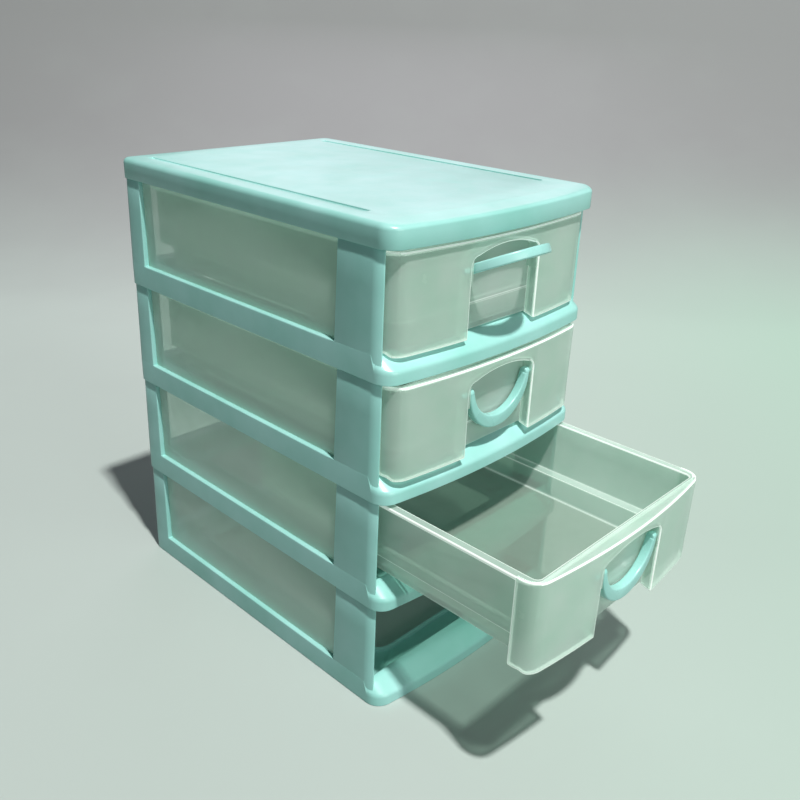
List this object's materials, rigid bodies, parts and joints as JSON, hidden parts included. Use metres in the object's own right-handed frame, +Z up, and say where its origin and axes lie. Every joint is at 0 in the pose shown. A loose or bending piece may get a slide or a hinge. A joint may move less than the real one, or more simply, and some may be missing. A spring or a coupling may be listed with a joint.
{
  "type": "desktop mini drawers",
  "caption": "Stacking frame with a lid, cloudy side panes and small see-through drawers with bail handles; the top handle is raised and a lower drawer stands open.",
  "frame": {"origin": "middle of the case's underside, halfway between its back and the chord of its front corners", "axes": "+X to the right seen from the front, +Y to the back (drawers open towards -Y), +Z up"},
  "size_m": [0.132, 0.2622, 0.22],
  "materials": {
    "case_plastic": "opaque mint polypropylene, moulded, soft satin",
    "drawer_plastic": "cloudy translucent polypropylene with a green tinge, moulded, satin",
    "handle_plastic": "opaque mint polypropylene, moulded, soft satin"
  },
  "bodies": {
    "case": {"lid": "case_plastic", "tier_frame_1": "case_plastic", "tier_frame_2": "case_plastic", "tier_frame_3": "case_plastic", "tier_frame_4": "case_plastic", "pane_1_left": "drawer_plastic", "pane_1_right": "drawer_plastic", "pane_2_left": "drawer_plastic", "pane_2_right": "drawer_plastic", "pane_3_left": "drawer_plastic", "pane_3_right": "drawer_plastic", "pane_4_left": "drawer_plastic", "pane_4_right": "drawer_plastic"},
    "drawer_1": {"drawer_1": "drawer_plastic"},
    "drawer_2": {"drawer_2": "drawer_plastic"},
    "drawer_3": {"drawer_3": "drawer_plastic"},
    "handle_1": {"handle_1": "handle_plastic"},
    "handle_2": {"handle_2": "handle_plastic"},
    "handle_3": {"handle_3": "handle_plastic"}
  },
  "joints": [
    {"name": "drawer_1_slide", "type": "slide", "parent": "case", "child": "drawer_1", "axis": [0, -1, 0], "range_m": [0, 0.13]},
    {"name": "drawer_2_slide", "type": "slide", "parent": "case", "child": "drawer_2", "axis": [0, -1, 0], "range_m": [-0.003, 0.127]},
    {"name": "drawer_3_slide", "type": "slide", "parent": "case", "child": "drawer_3", "axis": [0, -1, 0], "range_m": [-0.075, 0.055]},
    {"name": "handle_1_pivot", "type": "hinge", "parent": "drawer_1", "child": "handle_1", "pos_m": [0, -0.092, 0.1962], "axis": [-1, 0, 0], "range_deg": [-115, 5]},
    {"name": "handle_2_pivot", "type": "hinge", "parent": "drawer_2", "child": "handle_2", "pos_m": [0, -0.095, 0.1436], "axis": [-1, 0, 0], "range_deg": [0, 120]},
    {"name": "handle_3_pivot", "type": "hinge", "parent": "drawer_3", "child": "handle_3", "pos_m": [0, -0.167, 0.091], "axis": [-1, 0, 0], "range_deg": [0, 120]}
  ]
}
